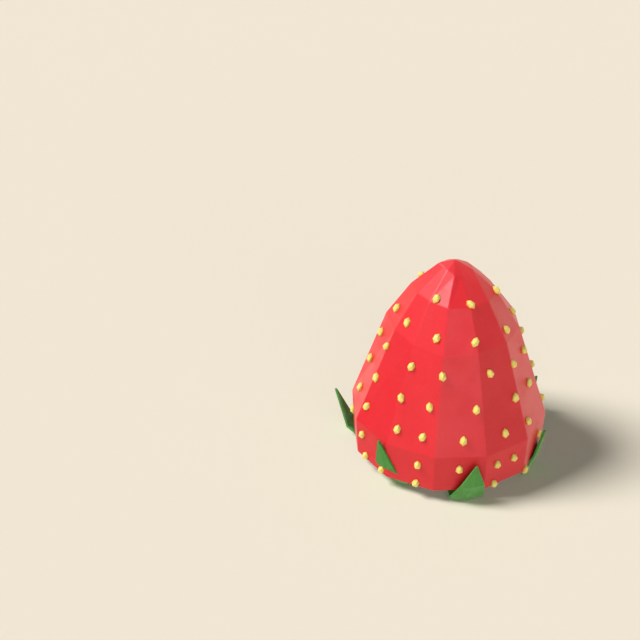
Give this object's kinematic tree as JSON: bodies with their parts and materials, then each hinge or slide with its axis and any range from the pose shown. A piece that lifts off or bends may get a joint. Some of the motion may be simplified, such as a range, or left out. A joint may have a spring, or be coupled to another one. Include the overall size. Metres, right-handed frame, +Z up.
{
  "type": "strawberry",
  "caption": "Ripe strawberry, tip up on the flat underside of its leafy cap, with faceted red flesh, pale raised seeds and folded green sepals.",
  "frame": {"origin": "middle of the cut stem's underside, on the plane that the strawberry rests on", "axes": "+Z up along the fruit's axis to its tip, -Y the front, +X to the right"},
  "size_m": [0.0391, 0.0381, 0.04],
  "materials": {
    "flesh": "ripe red flesh, waxy satin skin",
    "seed": "pale yellow seed, satin",
    "sepal": "green leaf, matte with a soft sheen",
    "calyx": "green cap, matte",
    "stem": "pale cut stem, matte"
  },
  "bodies": {
    "root": {"fruit": "flesh", "calyx_hub": "calyx", "stem_stub": "stem", "sepal_1": "sepal", "sepal_2": "sepal", "sepal_3": "sepal", "sepal_4": "sepal", "sepal_5": "sepal", "sepal_6": "sepal"}
  },
  "joints": []
}
